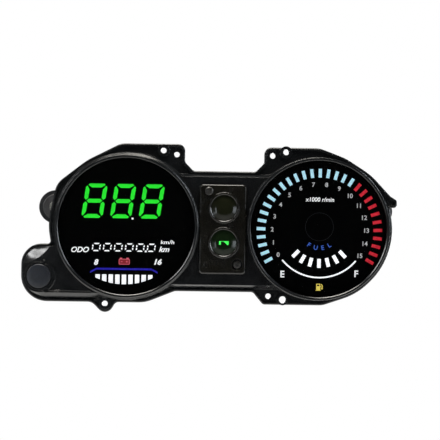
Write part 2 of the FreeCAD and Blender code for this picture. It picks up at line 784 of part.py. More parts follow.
def rear_case():
    outer = fuse("case_outer", tub("case_tub", 0, rear_rim, step, POD_FLOOR), drum("case_drum", 0, step, back),
                 ear("left", -dim("ear_left"), -100.5), ear("right", dim("ear_right"), 100.5),
                 block("rear_pad", -dim("pad_half_width"), dim("pad_half_width"),
                       -dim("pad_half_height"), dim("pad_half_height"), 9.5, 0))
    inner = [tub("case_inside", float(wall), rear_rim + PAST, step + wall, POD_FLOOR + wall),
             drum("drum_inside", float(wall), step + wall + PAST, back + wall)]
    shell = cut("case_shell", outer, *inner)
    added = [block("pad_root", -dim("pad_half_width"), dim("pad_half_width"),
                   -dim("pad_half_height"), dim("pad_half_height"), 9.5, 0)]
    holes = []
    for index, (x, z) in enumerate(tower_places()):
        added.append(cylinder("case_tower_%d" % index, dim("tower_radius"), rear_rim, step, x, z))
        holes.append(cylinder("case_clearance_%d" % index, 1.6, 31, 16, x, z))
    for index, (x, z) in enumerate(MAIN_BOARD_SCREWS):
        added.append(cylinder("board_post_%d" % index, 2.6, 21, back + 1, x, z))
        holes.append(cylinder("board_post_pilot_%d" % index, 0.9, 22, 13, x, z))
    for index, (x, z) in enumerate(BUTTON_BOARD_SCREWS):
        added.append(cylinder("pod_post_%d" % index, 2.2, 19.4, POD_FLOOR + 1, x, z))
        holes.append(cylinder("pod_post_pilot_%d" % index, 0.9, 20, 14, x, z))
    for side, x in (("left", -dim("ear_left")), ("right", dim("ear_right"))):
        holes.append(cylinder(side + "_ear_bore", dim("bush_radius"), 17, 6, x, dim("ear_height")))
    for side, x in (("left", -dim("pad_hole_half")), ("right", dim("pad_hole_half"))):
        holes.append(cylinder(side + "_pad_hole", dim("pad_hole"), 8, -1, x, 0))
    holes.append(block("socket_opening", -dim("socket_half_width"), dim("socket_half_width"),
                       dim("socket_bottom"), dim("socket_top"), 12, 3))
    holes.append(cylinder("vent_opening", 4.0, 12, 3, VENT_X, 8))
    return node(cut("rear_case", fuse("case_filled", shell, *added), *holes), "rear_case")


rear_case()

gasket = cut("case_gasket", tub("gasket_outside", 0.3, parting, rear_rim, rear_rim),
             tub("gasket_inside", 2.0, parting + PAST, rear_rim - PAST, rear_rim - PAST))
node(gasket, "case_gasket")


def pan_screw(name, x, z, head_depth, length, shank, head_radius, head_height, towards_front):
    """Pan-head cross-recess screw along Y, its head face at head_depth."""
    sign = 1 if towards_front else -1
    head_depth = float(head_depth)
    tip = head_depth + sign * length
    top = head_depth - sign * head_height
    profile = [(0, top, 0), (head_radius, top, head_height * 0.55), (head_radius, head_depth, 0),
               (shank, head_depth, 0), (shank, tip - sign * shank, 0), (0, tip, 0)]
    body = turned(name + "_body", profile, x, z)
    reach = head_radius * 0.62
    slots = []
    for suffix, across, up in (("a", reach, 0.28), ("b", 0.28, reach)):
        low = min(top, top + sign * head_height * 0.6)
        high = max(top, top + sign * head_height * 0.6)
        slots.append(block(name + "_slot_" + suffix, sized(x) - across, sized(x) + across,
                           sized(z) - up, sized(z) + up, high + (0 if towards_front else PAST),
                           low - (PAST if towards_front else 0)))
    return cut(name, body, *slots)


case_screws = [pan_screw("case_screw_%d" % index, x, z, step, 19.5, 1.2, 2.9, 1.9, True)
               for index, (x, z) in enumerate(tower_places())]
node(group("rear_case_screws", *case_screws), "rear_case_screws")

vent_profile = [(0, 8.2, 0), (4.0, 8.2, 0), (4.0, 5, 0), (6, 5, 0), (6, 3.2, 0.8), (0, 3.2, 0)]
node(turned("vent_plug", vent_profile, VENT_X, 8), "vent_plug")


# ---------------------------------------------------------------------------------------------
# Mounting ears: rubber bushes and steel inserts
# ---------------------------------------------------------------------------------------------

def ear_fittings(side, x):
    """Flanged rubber bush, and the tapped steel insert that an M6 stud screws into from behind."""
    z = dim("ear_height")
    bush = dim("bush_radius")
    insert = dim("insert_radius")
    profile = [(insert, 16.8, 0), (bush + 1.6, 16.8, 0.5), (bush + 1.6, 16, 0), (bush, 16, 0),
               (bush, 7, 0), (bush + 1.8, 7, 0), (bush + 1.8, 5.4, 0.6), (insert, 5.4, 0)]
    node(turned(side + "_ear_bush", profile, x, z), side + "_ear_bush")
    node(ring_body(side + "_ear_insert", insert, dim("insert_bore"), 16.8, 5.0, x, z),
         side + "_ear_insert")


ear_fittings("left", -dim("ear_left"))
ear_fittings("right", dim("ear_right"))


# ---------------------------------------------------------------------------------------------
# Dials: lens, seal, shroud, mask, light pipes, light box, board and lamps
# ---------------------------------------------------------------------------------------------

mask_front = dim("mask_front")
mask_back = mask_front - dim("mask_thick")
board_front = dim("board_front")
pipe_front = float(mask_front) + 0.15
pipe_back = float(mask_back)


def dial_cover_parts(side):
    """Clear lens on its seat, the seal behind it and the black ring that frames the dial."""
    x = dial_x[side]
    radius = dim("lens_radius")
    window = float(dim("window_radius")) - 0.2
    flat = window * 0.5
    lens = [(0, 47.6, 0), (flat, 47.6, 400), (window, 46.6, 0), (radius, 46.6, 0),
            (radius, 44.8, 0), (window, 44.8, 0), (flat, 45.8, 400), (0, 45.8, 0)]
    node(turned(side + "_dial_lens", lens, x), side + "_dial_lens")
    node(ring_body(side + "_lens_seal", radius, radius - 1.1, 44.8, 44.0, x), side + "_lens_seal")
    shroud = [(radius - 1.0, 44.0, 0), (radius, 44.0, 0), (radius, mask_front, 0),
              (radius - 1.9, mask_front, 0)]
    node(turned(side + "_dial_shroud", shroud, x), side + "_dial_shroud")


def lean(corners, slant):
    """Leans a digit's outline over to the right."""
    return [(across + up * slant, up) for across, up in corners]


def digit_bars(width, height, bar, gap, split):
    """Outlines of the seven bars of a digit about its own centre; split is half the gap at mid height."""
    half = width / 2
    top = height / 2
    tip = bar / 3
    cap = [(-half + gap, top - tip), (-half + gap + tip, top), (half - gap - tip, top),
           (half - gap, top - tip), (half - bar - gap, top - bar), (-half + bar + gap, top - bar)]
    side = [(-half, top - gap - tip), (-half + tip, top - gap), (-half + bar, top - bar - gap),
            (-half + bar, bar / 2 + split), (-half + bar / 2, split), (-half, bar / 2 + split)]
    inner = half - bar - split
    centre = [(-inner - bar / 2, 0), (-inner, bar / 2), (inner, bar / 2),
              (inner + bar / 2, 0), (inner, -bar / 2), (-inner, -bar / 2)]
    bars = [cap, [(a, -b) for a, b in cap], centre]
    for across_sign in (1, -1):
        for up_sign in (1, -1):
            bars.append([(a * across_sign, b * up_sign) for a, b in side])
    return bars


def digit_row(centres, z, width, height, bar, gap, split, slant, with_centre):
    """Light pipes of a row of digits at the given places along X."""
    shapes = []
    for x in centres:
        bars = digit_bars(width, height, bar, gap, split)
        if not with_centre:
            bars.pop(2)
        shapes += [prism(lean(corners, slant), pipe_front, pipe_back, x, z) for corners in bars]
    return shapes


def radial_bars(centre, angles, inner, outer, width):
    """Rectangular light pipes round a centre (x, z), pointing at it."""
    shapes = []
    for angle in angles:
        turn = math.radians(angle)
        out = V(math.cos(turn), 0, math.sin(turn))
        side = V(-math.sin(turn), 0, math.cos(turn))
        corners = []
        for radius, offset in ((inner, -width / 2), (outer, -width / 2), (outer, width / 2),
                               (inner, width / 2)):
            point = out * radius + side * offset
            corners.append((point.x, point.z))
        shapes.append(prism(corners, pipe_front, pipe_back, *centre))
    return shapes


def arc_strip(centre, radius, width, first, last):
    """Thin curved light pipe about a centre (x, z)."""
    def at(distance, angle):
        turn = math.radians(angle)
        return V(centre[0] + distance * math.cos(turn), -pipe_front, centre[1] + distance * math.sin(turn))
    middle = (first + last) / 2
    inner = radius - width / 2
    outer = radius + width / 2
    wire = Part.Wire([
        Part.Arc(at(outer, first), at(outer, middle), at(outer, last)).toShape(),
        Part.makeLine(at(outer, last), at(inner, last)),
        Part.Arc(at(inner, last), at(inner, middle), at(inner, first)).toShape(),
        Part.makeLine(at(inner, first), at(outer, first)),
    ])
    return Part.Face(wire).extrude(V(0, pipe_front - pipe_back, 0))


def voltage_shapes(centre_x):
    """Nine upright bars whose lower ends follow one large circle."""
    count = 9
    pitch = 4.63
    half = 1.55
    top = -34.2
    circle = 46.0
    circle_up = circle - 41.0
    middle = centre_x - 1.45
    shapes = []
    for index in range(count):
        place = (index - (count - 1) / 2) * pitch
        foot = [circle_up - math.sqrt(circle ** 2 - (place + edge) ** 2) for edge in (-half, half)]
        corners = [(-half, top), (half, top), (half, foot[1]), (-half, foot[0])]
        shapes.append(prism(corners, pipe_front, pipe_back, middle + place, 0))
    return shapes


def line_strip(centre_x):
    """Thin line above the voltage bars, its two ends sloping down."""
    thick = 1.3
    points = [(-25.3, -32.0), (-20.9, -29.6), (17.8, -29.6), (22.1, -31.8)]
    lower = [(across, up - thick) for across, up in reversed(points)]
    return [prism(points + lower, pipe_front, pipe_back, centre_x, 0)]


LEFT = float(dial_x["left"])
RIGHT = float(dial_x["right"])
TACH_ANGLES = [210 - 8 * index for index in range(31)]
SLANT = math.tan(math.radians(8.5))
speed_places = [LEFT - 2.8 + offset for offset in (-20.2, 0, 20.2)]
odometer_places = [LEFT - 1.85 + (index - 2.5) * 7.74 for index in range(6)]
dot = [(-0.6, -0.6), (0.6, -0.6), (0.6, 0.6), (-0.6, 0.6)]
SCALE_CENTRE = (RIGHT + 1.0, -1.85)
FUEL_CENTRE = (RIGHT + 1.0, -0.45)
FUEL_ANGLES = [-90 + 14.6 * (index - 3) for index in range(7)]

pipes = {
    "speed_segments": digit_row(speed_places, 17.6, 15.0, 24.2, 2.8, 1.5, 0.6, SLANT, True),
    "speed_point": [prism(dot, pipe_front, pipe_back, LEFT + 4.0, 5.4)],
    "odometer_segments": digit_row(odometer_places, -15.0, 5.9, 5.8, 0.9, 1.0, 0.12, 0.12, False)
    + [prism(dot, pipe_front, pipe_back, odometer_places[4] + 3.87, -17.6)],
    "voltage_line": line_strip(LEFT),
    "voltage_bars": voltage_shapes(LEFT),
    "tach_bars_blue": radial_bars(SCALE_CENTRE, TACH_ANGLES[:20], 38.2, 44.4, 2.3),
    "tach_bars_red": radial_bars(SCALE_CENTRE, TACH_ANGLES[20:], 38.2, 44.4, 2.3),
    "fuel_bars": radial_bars(FUEL_CENTRE, FUEL_ANGLES, 20.7, 27.0, 2.5),
    "fuel_arc": [arc_strip(FUEL_CENTRE, 33.9, 1.0, -140.1, -39.9)],
}
SIDE_PIPES = {
    "left": ("speed_segments", "speed_point", "odometer_segments", "voltage_line", "voltage_bars"),
    "right": ("tach_bars_blue", "tach_bars_red", "fuel_bars", "fuel_arc"),
}
pipe_nodes = {name: node(prisms(name, shapes), name) for name, shapes in pipes.items()}


def dial_mask(side):
    """Black plate with a window for every light pipe."""
    disc = cylinder(side + "_mask_disc", dim("lens_radius"), mask_front, mask_back, dial_x[side])
    windows = group(side + "_mask_windows", *[pipe_nodes[name] for name in SIDE_PIPES[side]])
    node(cut(side + "_dial_mask", disc, windows), side + "_dial_mask")


def light_box(side):
    """White housing between mask and board, open behind each group of light pipes."""
    x = dial_x[side]
    disc = cylinder(side + "_box_disc", 48.6, mask_back, board_front, x)
    tools = []
    for index, (tower_x, tower_z) in enumerate(tower_places()):
        tools.append(cylinder("%s_box_notch_%d" % (side, index), dim("tower_radius") + 0.4,
                              mask_back + PAST, board_front - PAST, tower_x, tower_z))
    front = mask_back + PAST
    rear = board_front - PAST
    if side == "left":
        for index, place in enumerate(speed_places):
            tools.append(block("speed_cell_%d" % index, place - 9.2, place + 9.2, 4.4, 30.4, front, rear))
        tools.append(block("odometer_cell", LEFT - 26, LEFT + 22, -19, -11, front, rear))
        tools.append(slab("voltage_cell", [(LEFT - 24, -29, 0), (LEFT + 21, -29, 0), (LEFT + 21, -37, 0),
                                           (LEFT + 12, -41.8, 0), (LEFT - 15, -41.8, 0),
                                           (LEFT - 24, -37, 0)], front, rear))
    else:
        ring = cut("tach_cell", cylinder("tach_cell_outer", 44.9, front, rear, *SCALE_CENTRE),
                   cylinder("tach_cell_inner", 37.7, front, rear, *SCALE_CENTRE),
                   block("tach_cell_end", x - 50, x + 50, -50, -26.4, front, rear))
        tools.append(ring)
        tools.append(slab("fuel_cell", [(x - 19.5, -28.2, 0), (x - 19.5, -12, 0), (x + 21.5, -12, 0),
                                        (x + 21.5, -28.2, 0)], front, rear))
    return cut(side + "_light_box", disc, *tools)


def display_board(side):
    """Round display board with three screw holes on a circle."""
    body = new_body(side + "_display_board", dial_x[side], board_front - dim("board_thick"), 0)
    sketch = face_sketch(body, "_sketch")
    sketch_circle(sketch, 43.2)
    pad(body, sketch, dim("board_thick"))
    hole_sketch = face_sketch(body, "_hole_sketch")
    sketch_circle(hole_sketch, 1.3, 0, BOARD_SCREW_CIRCLE)
    pocket = body.newObject("PartDesign::Pocket", side + "_board_hole")
    pocket.Profile = hole_sketch
    pocket.Type = "ThroughAll"
    pocket.Midplane = True
    pattern = body.newObject("PartDesign::PolarPattern", side + "_board_holes")
    pattern.Originals = [pocket]
    axis = [item for item in body.Origin.OriginFeatures if item.Role == "Y_Axis"][0]
    pattern.Axis = (axis, [""])
    pattern.Angle = 360
    pattern.Occurrences = 3
    body.Tip = pattern
    return body


def lamp_row(places, depth):
    """Surface-mount lamps on a board at the given (x, z) places."""
    corners = [(-0.8, -0.6), (0.8, -0.6), (0.8, 0.6), (-0.8, 0.6)]
    return [prism(corners, depth + 0.8, depth, x, z) for x, z in places]


def lamp_places(side):
    """One lamp behind each separate bar or digit bar, a little nearer the dial's middle than the bar."""
    places = []
    nearer = 0.97
    middle = float(dial_x[side])
    for name in SIDE_PIPES[side]:
        for shape in pipes[name]:
            centre = shape.CenterOfMass
            if name not in ("fuel_arc", "voltage_line"):
                places.append((middle + (centre.x - middle) * nearer, centre.z * nearer))
    return places


for side in ("left", "right"):
    dial_cover_parts(side)
    dial_mask(side)
    node(light_box(side), side + "_light_box")
    node(display_board(side), side + "_display_board")
    node(prisms(side + "_leds", lamp_row(lamp_places(side), float(board_front))), side + "_leds")

board_back = float(board_front) - float(dim("board_thick"))
display_screws = []
for side in ("left", "right"):
    for index in range(3):
        turn = math.radians(90 + 120 * index)
        x = float(dial_x[side]) + BOARD_SCREW_CIRCLE * math.cos(turn)
        z = BOARD_SCREW_CIRCLE * math.sin(turn)
        name = "%s_board_screw_%d" % (side, index)
        display_screws.append(pan_screw(name, x, z, board_back, 1.5, 1.1, 2.3, 1.4, True))
node(group("display_board_screws", *display_screws), "display_board_screws")


# ---------------------------------------------------------------------------------------------
# Indicator panel
# ---------------------------------------------------------------------------------------------

plate_front = dim("plate_depth")
lamps = {"upper": dim("upper_lamp_z"), "lower": dim("lower_lamp_z")}


def indicator_plate():
    """Moulded block on the bridge with two lamp pockets, two screw seats and a dimple."""
    corners = [(-dim("plate_left"), -dim("plate_bottom"), 3), (-dim("plate_left"), dim("plate_top"), 3),
               (dim("plate_right"), dim("plate_top"), 3), (dim("plate_right"), -dim("plate_bottom"), 3)]
    solid = slab("plate_block", corners, plate_front, face)
    rounded = rounded_front("plate_rounded", solid, plate_front, 1.2)
    tools = []
    for name, height in lamps.items():
        radius = dim("lamp_ring_radius")
        tools.append(cylinder(name + "_pocket", radius, plate_front + 1, face + 1.5,
                              dim("lamp_x"), height))
        tools.append(cylinder(name + "_light_way", 7.5, face + 3, face - 1, dim("lamp_x"), height))
    for index, (x, z) in enumerate(PLATE_SCREWS):
        tools.append(cylinder("plate_screw_way_%d" % index, 1.4, plate_front + 1, face - 1, x, z))
    tools.append(cylinder("lower_screw_recess", 3.9, plate_front + 1, plate_front - 2.2,
                          PLATE_SCREWS[1][0], PLATE_SCREWS[1][1]))
    for side in ("left", "right"):
        tools.append(cone(side + "_tube_relief", tube_radius_at(side, 46) + 0.2,
                          tube_radius_at(side, 39) + 0.2, 46, 39, dial_x[side]))
    tools.append(cone("dimple", 2.2, 1.4, plate_front + 0.1, plate_front - 0.9, -11.1, -26.6))
    return node(cut("indicator_plate", rounded, *tools), "indicator_plate")


indicator_plate()

for name, height in lamps.items():
    ring_outer = dim("lamp_ring_radius")
    ring_inner = dim("lamp_lens_radius")
    ring = [(ring_inner, 45.9, 0), (ring_inner + 0.5, 46.3, 0.2), (ring_outer - 0.4, 46.1, 0.5),
            (ring_outer, 45.2, 0), (ring_outer, 41.5, 0), (ring_inner, 41.5, 0)]
    node(turned(name + "_indicator_ring", ring, dim("lamp_x"), height), name + "_indicator_ring")
    lens = [(0, 46.6, 0), (5.2, 46.25, 12), (ring_inner, 45.0, 0), (ring_inner, 43.4, 0), (0, 43.4, 0)]
    node(turned(name + "_indicator_lens", lens, dim("lamp_x"), height), name + "_indicator_lens")

plate_screws = [pan_screw("plate_screw_0", PLATE_SCREWS[0][0], PLATE_SCREWS[0][1], 45.0, 7.6, 1.1,
                          2.9, 1.7, False),
                pan_screw("plate_screw_1", PLATE_SCREWS[1][0], PLATE_SCREWS[1][1], 42.8, 5.4, 1.1,
                          2.9, 1.7, False)]
node(group("indicator_plate_screws", *plate_screws), "indicator_plate_screws")

indicator_board_front = 36.4
node(board_body("indicator_board", -13.5, 13.5, -28, 23, indicator_board_front), "indicator_board")
lamp_bodies = []
for name, height in lamps.items():
    dome = [(0, 41.6, 0), (2.5, 41.6, 2.4), (2.5, 37.6, 0), (2.9, 37.6, 0),
            (2.9, indicator_board_front, 0), (0, indicator_board_front, 0)]
    lamp_bodies.append(turned(name + "_led", dome, dim("lamp_x"), height))
node(group("indicator_leds", *lamp_bodies), "indicator_leds")


# ---------------------------------------------------------------------------------------------
# Main board, its screws, chips, ribbons and the harness socket
# ---------------------------------------------------------------------------------------------

main_front = 22.6
main_back = 21.0
screw_holes = [(x, z, 1.3) for x, z in MAIN_BOARD_SCREWS]
node(board_body("main_board", -24.5, 24.5, -30, 24, main_front, screw_holes), "main_board")
main_screws = [pan_screw("main_screw_%d" % index, x, z, main_front, 7.5, 0.9, 2.2, 1.3, False)
               for index, (x, z) in enumerate(MAIN_BOARD_SCREWS)]
node(group("main_board_screws", *main_screws), "main_board_screws")

chips = [block("controller_chip", -7, 7, -1, 13, main_front + 1.4, main_front),
         block("driver_chip", -18, -12, -8, 2, main_front + 1.2, main_front),
         block("regulator", 12, 18, -12, -3, main_front + 2.2, main_front),
         cylinder("capacitor_a", 3.2, main_front + 4.6, main_front, 11, 17),
         cylinder("capacitor_b", 3.2, main_front + 4.6, main_front, -11, 17)]
node(group("board_chips", *chips), "board_chips")


def ribbon(name, x_board, x_main, front, low, high, middle):
    """Flat cable that drops off one board, runs across and lands on the main board."""
    thin = 0.3
    left = min(x_board, x_main)
    right = max(x_board, x_main)
    return node(fuse(name,
                     block(name + "_drop", x_board - thin, x_board + thin, low, high, front, middle),
                     block(name + "_run", left - thin, right + thin, low, high, middle + thin * 2, middle),
                     block(name + "_land", x_main - thin, x_main + thin, low, high, middle, main_front)),
                name)


ribbon("left_ribbon", -32, -22, board_back, -14, -2, 27.4)
ribbon("right_ribbon", 32, 22, board_back, -14, -2, 27.4)
node(fuse("button_ribbon",
          block("button_ribbon_rise", -119.4, -118.8, -32, -27.4, 24.6, 21.0),
          block("button_ribbon_run", -119.4, -22.9, -32, -27.4, 25.2, 24.6),
          block("button_ribbon_land", -23.5, -22.9, -32, -27.4, 25.2, main_front)), "button_ribbon")

socket_left = -dim("socket_half_width")
socket_right = dim("socket_half_width")
socket_low = dim("socket_bottom")
socket_high = dim("socket_top")
pin_centre_z = (float(socket_low) + float(socket_high)) / 2
pin_shapes = []
for row in (-1, 1):
    for index in range(8):
        x = (index - 3.5) * 2.6
        z = pin_centre_z + row * 1.5
        half_pin = 0.32
        square = [(-half_pin, -half_pin), (half_pin, -half_pin), (half_pin, half_pin),
                  (-half_pin, half_pin)]
        pin_shapes.append(prism(square, main_back, 7.0, x, z))
pins = node(prisms("socket_pins", pin_shapes), "socket_pins")
socket = cut("harness_socket",
             block("socket_body", socket_left, socket_right, socket_low, socket_high, 16, 1.4),
             block("socket_pocket", socket_left + 1.8, socket_right - 1.8, socket_low + 1.8,
                   socket_high - 1.8, 13.4, 1.4 - PAST),
             pins)
node(socket, "harness_socket")


# ---------------------------------------------------------------------------------------------
# Reset button and its switch
# ---------------------------------------------------------------------------------------------

button = [(0, 42.1, 0), (6.0, 42.0, 18), (dim("button_radius"), 41.6, 0.6),
          (dim("button_radius"), 38.8, 0), (0, 38.8, 0)]
node(turned("reset_button", button, button_x, button_z), "reset_button")
stem = dim("stem_radius")
node(cylinder("button_stem", stem, 38.8, 27.0, button_x, button_z), "button_stem")
node(ring_body("button_clip", stem + 1.6, stem, 31.9, 31.3, button_x, button_z), "button_clip")
node(torus("button_seal", stem + 0.8, 0.7, 34.7, button_x, button_z), "button_seal")


def coil_spring():
    """Closed-end compression spring between the button and the floor of its cup."""
    wire_radius = 0.35
    coil_radius = 5.6
    length = 38.8 - 34.0 - 2 * wire_radius - 0.1
    turns = 3.0
    helix = Part.makeHelix(length / turns, length, coil_radius)
    start = V(coil_radius, 0, 0)
    profile = Part.Wire([Part.makeCircle(wire_radius, start, V(0, 1, 0.1))])
    spring = Part.Wire(helix.Edges).makePipeShell([profile], True, False)
    obj = doc.addObject("Part::Feature", "button_spring")
    obj.Shape = spring
    put(obj, button_x, -38.8 + wire_radius + 0.05, button_z, FACING_BACK)
    return obj


node(coil_spring(), "button_spring")
plunger = 1.6
node(cylinder("switch_plunger", plunger, 26.95, 23.2, button_x, button_z), "switch_plunger")
switch_box = block("switch_box", button_x - 3.75, button_x + 3.75, button_z - 3.75, button_z + 3.75,
                   25.4, 21.0)
switch_bore = cylinder("switch_bore", plunger + 0.06, 26, 21.7, button_x, button_z)
node(cut("switch_body", switch_box, switch_bore), "switch_body")
button_holes = [(x, z, 1.3) for x, z in BUTTON_BOARD_SCREWS]
node(board_body("button_board", -134.8, -117, -42, -27, 21.0, button_holes), "button_board")
button_screws = [pan_screw("button_screw_%d" % index, x, z, 21.0, 6.0, 0.9, 2.0, 1.2, False)
                 for index, (x, z) in enumerate(BUTTON_BOARD_SCREWS)]
node(group("button_board_screws", *button_screws), "button_board_screws")


# ---------------------------------------------------------------------------------------------
# Check everything and write the files
# ---------------------------------------------------------------------------------------------

doc.recompute()
for obj in doc.Objects:
    if "Invalid" in obj.State or "Error" in obj.State:
        raise RuntimeError("%s failed: %s" % (obj.Name, obj.State))
os.makedirs("parts", exist_ok=True)
for obj in NODES:
    shape = obj.Shape
    if shape.isNull() or not shape.isValid() or not shape.Solids:
        raise RuntimeError("%s has no valid solid" % obj.Label)
    shape.exportStep(os.path.join("parts", obj.Label + ".step"))
    print("%-24s solids %3d  volume %10.1f" % (obj.Label, len(shape.Solids), shape.Volume))
print("nodes", len(NODES))
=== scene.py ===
"""Motorcycle instrument cluster: finishes, printed dial markings, the button's spring, studio and camera.

Everything is in metres in the model's own frame: +X right, +Z up, the dials face -Y. Printed markings
are laid out in millimetres and turned into metres by MM as their meshes are made. A marking lies on a
dial mask or a lamp lens, so its place is worked out from that node's box.
"""
import math

import bmesh
import bpy
from mathutils import Matrix, Vector


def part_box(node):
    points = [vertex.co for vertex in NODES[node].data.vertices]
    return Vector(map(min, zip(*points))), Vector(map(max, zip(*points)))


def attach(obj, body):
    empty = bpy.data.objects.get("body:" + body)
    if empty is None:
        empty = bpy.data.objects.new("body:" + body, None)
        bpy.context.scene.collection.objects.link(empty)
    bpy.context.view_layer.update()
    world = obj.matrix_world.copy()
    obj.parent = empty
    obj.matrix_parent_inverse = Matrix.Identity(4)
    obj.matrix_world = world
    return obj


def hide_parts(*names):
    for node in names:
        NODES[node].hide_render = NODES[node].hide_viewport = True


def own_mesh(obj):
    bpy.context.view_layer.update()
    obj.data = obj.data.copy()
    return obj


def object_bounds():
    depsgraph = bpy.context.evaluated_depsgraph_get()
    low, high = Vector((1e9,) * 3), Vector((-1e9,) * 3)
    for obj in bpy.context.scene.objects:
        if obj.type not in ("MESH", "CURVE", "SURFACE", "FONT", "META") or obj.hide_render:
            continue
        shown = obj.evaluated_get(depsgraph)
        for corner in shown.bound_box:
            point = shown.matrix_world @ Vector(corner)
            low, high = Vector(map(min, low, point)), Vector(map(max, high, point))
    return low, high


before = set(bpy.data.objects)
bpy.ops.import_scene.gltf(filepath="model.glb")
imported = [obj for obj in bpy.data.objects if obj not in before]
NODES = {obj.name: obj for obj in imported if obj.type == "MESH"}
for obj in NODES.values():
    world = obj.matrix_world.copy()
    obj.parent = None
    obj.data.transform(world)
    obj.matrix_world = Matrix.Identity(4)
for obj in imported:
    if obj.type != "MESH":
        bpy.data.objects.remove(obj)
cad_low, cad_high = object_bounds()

MM = 0.001


# ---------------------------------------------------------------- materials

BEVEL_SAMPLES = 6


def scaled(colour, share):
    return tuple(share * channel for channel in colour)


class Shader:
    """A node material being wired up; one given a colour ends in a Principled shader."""

    def __init__(self, name, colour=None, roughness=None, **sockets):
        self.material = bpy.data.materials.new(name)
        self.material.use_nodes = True
        self.tree = self.material.node_tree
        self.tree.nodes.clear()
        self.output = self.add("OutputMaterial")
        self.place = self.add("TexCoord").outputs["Object"]
        self.colour = colour
        self.roughness = roughness
        if colour:
            self.surface = self.add("BsdfPrincipled")
            self.surface.inputs["Base Color"].default_value = (*colour, 1.0)
            self.surface.inputs["Roughness"].default_value = roughness
            for socket, value in sockets.items():
                self.surface.inputs[socket.replace("_", " ")].default_value = value
            self.join(self.surface.outputs["BSDF"], self.output.inputs["Surface"])

    def add(self, kind, **settings):
        node = self.tree.nodes.new("ShaderNode" + kind)
        for name, value in settings.items():
            setattr(node, name, value)
        return node

    def join(self, source, target):
        self.tree.links.new(source, target)

    def noise(self, size_mm, detail=3.0, stretch=(1.0, 1.0, 1.0)):
        """Noise whose features are about size_mm across, longer along an axis with a small stretch."""
        stretched = self.add("Mapping")
        stretched.inputs["Scale"].default_value = stretch
        self.join(self.place, stretched.inputs["Vector"])
        texture = self.add("TexNoise")
        texture.inputs["Scale"].default_value = 1.0 / (size_mm * MM)
        texture.inputs["Detail"].default_value = detail
        self.join(stretched.outputs["Vector"], texture.inputs["Vector"])
        return texture.outputs["Fac"]

    def spread(self, factor, low, high, start=0.3, end=0.7):
        """The factor moved from the band start..end to low..high."""
        ranged = self.add("MapRange")
        for socket, value in (("From Min", start), ("From Max", end), ("To Min", low), ("To Max", high)):
            ranged.inputs[socket].default_value = value
        self.join(factor, ranged.inputs["Value"])
        return ranged.outputs["Result"]

    def tint(self, factor, other, strength):
        """Mixes the base colour towards another by the factor, up to the strength."""
        mix = self.add("MixRGB", blend_type="MIX")
        source = self.surface.inputs["Base Color"]
        if source.is_linked:
            self.join(source.links[0].from_socket, mix.inputs["Color1"])
        else:
            mix.inputs["Color1"].default_value = (*self.colour, 1.0)
        mix.inputs["Color2"].default_value = (*other, 1.0)
        self.join(self.spread(factor, 0.0, strength), mix.inputs["Fac"])
        self.join(mix.outputs["Color"], source)

    def vary_roughness(self, factor, change):
        value = self.spread(factor, self.roughness - change, self.roughness + change)
        self.join(value, self.surface.inputs["Roughness"])

    def bump(self, factor, height_mm, strength):
        """Adds one more layer of bump on top of those already there."""
        bump = self.add("Bump")
        bump.inputs["Strength"].default_value = strength
        bump.inputs["Distance"].default_value = height_mm * MM
        self.join(factor, bump.inputs["Height"])
        target = self.surface.inputs["Normal"]
        if target.is_linked:
            self.join(target.links[0].from_socket, bump.inputs["Normal"])
        self.join(bump.outputs["Normal"], target)

    def bevelled_normal(self, radius_mm):
        bevel = self.add("Bevel", samples=BEVEL_SAMPLES)
        bevel.inputs["Radius"].default_value = radius_mm * MM
        return bevel.outputs["Normal"]

    def round_edges(self, radius_mm):
        """Lets sharp edges catch the light as if they had a small radius."""
        self.join(self.bevelled_normal(radius_mm), self.surface.inputs["Normal"])

    def wear(self, radius_mm, colour, strength):
        """Tints the edges towards another colour where the rounded normal leaves the flat one: partly rubbed
        wear, partly a painted edge highlight.
        """
        dot = self.add("VectorMath", operation="DOT_PRODUCT")
        self.join(self.bevelled_normal(radius_mm), dot.inputs[0])
        self.join(self.add("NewGeometry").outputs["Normal"], dot.inputs[1])
        edge = self.spread(dot.outputs["Value"], 1.0, 0.0, start=0.75, end=0.98)
        patches = self.spread(self.noise(size_mm=2.5), 0.2, 1.0, start=0.4, end=0.6)
        both = self.add("Math", operation="MULTIPLY")
        self.join(edge, both.inputs[0])
        self.join(patches, both.inputs[1])
        # The lighter edge tint is partly rubbed wear and partly a painted highlight.
        self.tint(both.outputs["Value"], colour, strength)


def moulded_plastic(name, colour, roughness, grain_mm=0.35, grain_height=0.012, edge_mm=0.25,
                    wear=(0.05, 0.052, 0.055), **sockets):
    """Injection-moulded plastic: spark-eroded grain, faint flow clouds, polished edges, and edges tinted
    lighter as rubbed wear and as a painted highlight.
    """
    made = Shader(name, colour, roughness, **sockets)
    if edge_mm:
        made.round_edges(edge_mm)
    made.tint(made.noise(size_mm=14.0, detail=4.0), scaled(colour, 1.6), strength=0.8)
    made.vary_roughness(made.noise(size_mm=6.0, detail=5.0), change=0.05)
    made.bump(made.noise(grain_mm, detail=2.0), grain_height, strength=0.6)
    made.bump(made.noise(size_mm=9.0, detail=2.0), height_mm=0.02, strength=0.4)
    # Edges tinted lighter: partly rubbed wear, partly a painted highlight along them.
    if wear:
        made.wear(0.2, wear, strength=0.25)
    return made.material


def rubber(name, colour, roughness):
    """Rubber with a dusty bloom and a fine pebble."""
    made = Shader(name, colour, roughness, Sheen_Weight=0.06, Sheen_Roughness=0.5)
    made.round_edges(0.3)
    dust = 0.005
    made.tint(made.noise(size_mm=3.0, detail=5.0), tuple(c + dust for c in scaled(colour, 1.9)), strength=0.6)
    made.vary_roughness(made.noise(size_mm=1.2), change=0.08)
    made.bump(made.noise(size_mm=0.18, detail=2.0), height_mm=0.01, strength=0.7)
    return made.material


